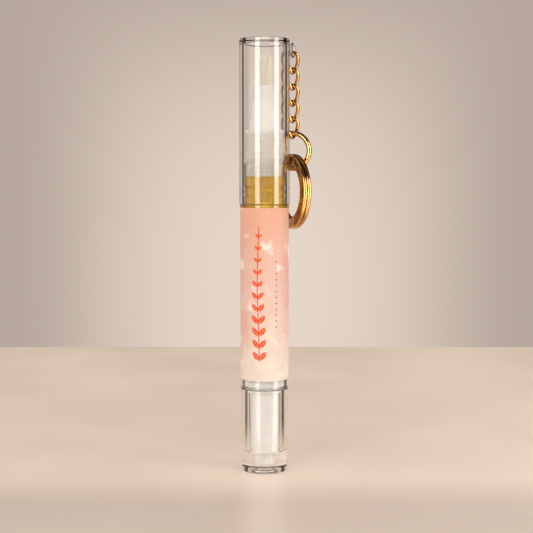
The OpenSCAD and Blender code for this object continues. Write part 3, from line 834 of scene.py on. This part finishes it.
def floor():
    """A pale floor with painted light: paler near the pen, it glows in strips that only reflections show,
    under the foot and far off; only clear plastic shows its dark bands, painted shade.
    """
    made, tree, shader, place = material("studio_floor", Emission_Color=rgb((255, 238, 222)))
    x, y = parts(tree, place)[:2]
    far = (x * x + y * y).math("SQRT")
    shiny, through = ray_kinds(tree)[:2]
    strip_power, foot_glow_power = 4.0, 0.6
    # Painted light: the floor is paler near the pen, a painted pool of light, and again further off, where
    # the lamps' light falls away; it is darker towards the camera.
    plain = blend_colour(tree, far.ramp(8.0, 35.0), (248, 232, 217), (238, 222, 208))
    plain = blend_colour(tree, far.ramp(50.0, 100.0), plain, (243, 227, 213))
    plain = blend_colour(tree, y.ramp(-6.0, -34.0), plain, (213, 199, 188))
    # Painted shade: dark bands that only clear plastic shows, for the dark lines in its walls.
    dark = wave(x, y, DARK_TURN).ramp(0.1, 0.95) * far.ramp(14.0, 70.0) * through
    paint(tree, shader, blend_colour(tree, dark, plain, (30, 24, 20)))
    # Painted highlights: the floor glows in strips that only reflections show, so the pen's lower part
    # keeps its highlight bands.
    strip = strips(x, y, 30.0) * far.ramp(20.0, 60.0) * shiny
    # Painted light: under the foot the floor glows in what clear plastic shows, a painted caustic under the
    # clear knob.
    foot_caustic_glow = far.ramp(9.0, 3.0) * through
    # Painted light: the far floor glows a little where the lamps' light falls away.
    far_floor_glow = far.ramp(60.0, 190.0, 0.0, 0.03)
    plug(tree, strip * strip_power + foot_caustic_glow * foot_glow_power + far_floor_glow, shader.inputs["Emission Strength"])
    rough_and_bump(tree, shader, place, rough=(0.3, 0.42), wear_scale=0.02, grain_scale=1.6, depth=0.02)
    half, height = 211.0, -0.02
    corners = [(-half, -half, height), (half, -half, height), (half, half, height), (-half, half, height)]
    slab = make_object("floor", (corners, [[0, 1, 2, 3]]), made)


def studio_world():
    """A pale backdrop with a glow at each quarter turn; only gloss and clear plastic show its bands."""
    world = bpy.data.worlds.new("studio")
    world.use_nodes = True
    scene.world = world
    tree = world.node_tree
    coordinates = tree.nodes.new("ShaderNodeTexCoord")
    x, y, z = parts(tree, coordinates.outputs["Generated"])
    level = z * z
    fall = z + 0.1
    glow = wave(x, y, 0).ramp(0.6, 1.1) * (fall * fall).ramp(0.1, -0.02)
    backdrop = blend_colour(tree, glow, (183, 167, 156), (238, 222, 208))
    shiny, through, inner = ray_kinds(tree)
    strip_power, inner_power, through_power = 10.0, 0.24, 0.2
    roof = level.ramp(0.05, 0.3, 0.0, 0.7)
    dark = wave(x, y, DARK_TURN).ramp(0.72, 0.92).math("MAXIMUM", roof) * through
    edge = wave(x, y, EDGE_TURN, 2).ramp(0.0, 0.5, 0.0, 0.95)
    dusk = wave(x, y, DUSK_TURN).ramp(-0.3, 0.7, 0.36, 1.0).math("MAXIMUM", edge) * shiny
    strip = strips(x, y, 0.3) * level.ramp(0.45, 0.2) * shiny
    studio = blend_colour(tree, dark.math("MAXIMUM", dusk), backdrop, (24, 20, 18))
    studio = blend_colour(tree, strip, studio, (255, 250, 244))
    path = tree.nodes.new("ShaderNodeLightPath")
    direct = shiny.math("MAXIMUM", through).math("MAXIMUM", path.outputs["Is Camera Ray"])
    background = tree.nodes["Background"]
    ambient = blend_colour(tree, (x * x).ramp(0.0, 1.0), (250, 240, 230), (168, 150, 136))
    ambient = blend_colour(tree, inner, ambient, (255, 250, 246))
    plug(tree, blend_colour(tree, direct, ambient, studio), background.inputs["Color"])
    extra = strip * strip_power + inner * inner_power + through * through_power
    plug(tree, extra + 1.0, background.inputs["Strength"])


def softbox(name, azimuth, distance, width, low, high, power):
    """An upright strip light at an azimuth from the camera's side, to the right, facing the pen."""
    data = bpy.data.lights.new(name, "AREA")
    data.shape = "RECTANGLE"
    data.size = width
    data.size_y = high - low
    data.energy = power
    lamp = bpy.data.objects.new(name, data)
    scene.collection.objects.link(lamp)
    turn = math.radians(azimuth)
    lamp.location = (distance * math.sin(turn), -distance * math.cos(turn), (low + high) / 2)
    lamp.rotation_euler = (math.radians(90), 0, turn)
    lamp.visible_camera = False
    lamp.visible_glossy = False
    lamp.visible_transmission = False
    return lamp


floor()
studio_world()
softbox("strip_left", azimuth=-32, distance=0.24, width=0.1, low=0.0, high=0.26, power=0.2)
softbox("strip_right", azimuth=66, distance=0.24, width=0.1, low=0.0, high=0.26, power=0.24)
# the third one lies flat over the pen and faces down
top = softbox("top_box", azimuth=0, distance=0.0, width=0.3, low=0.4, high=0.7, power=0.3)
top.rotation_euler = (0, 0, 0)

BOUNCES = 32
scene.view_settings.view_transform = "Standard"
scene.cycles.max_bounces = BOUNCES
scene.cycles.transmission_bounces = BOUNCES
scene.cycles.transparent_max_bounces = BOUNCES

CAMERA_LENS = 74.1
CAMERA_PLACE = (0.0005, -0.28, 0.0742)
CAMERA_DIP = 4.4
camera_data = bpy.data.cameras.new("camera")
camera_data.lens = CAMERA_LENS
camera = bpy.data.objects.new("camera", camera_data)
scene.collection.objects.link(camera)
camera.location = CAMERA_PLACE
camera.rotation_euler = (math.radians(90 - CAMERA_DIP), 0, 0)
scene.camera = camera
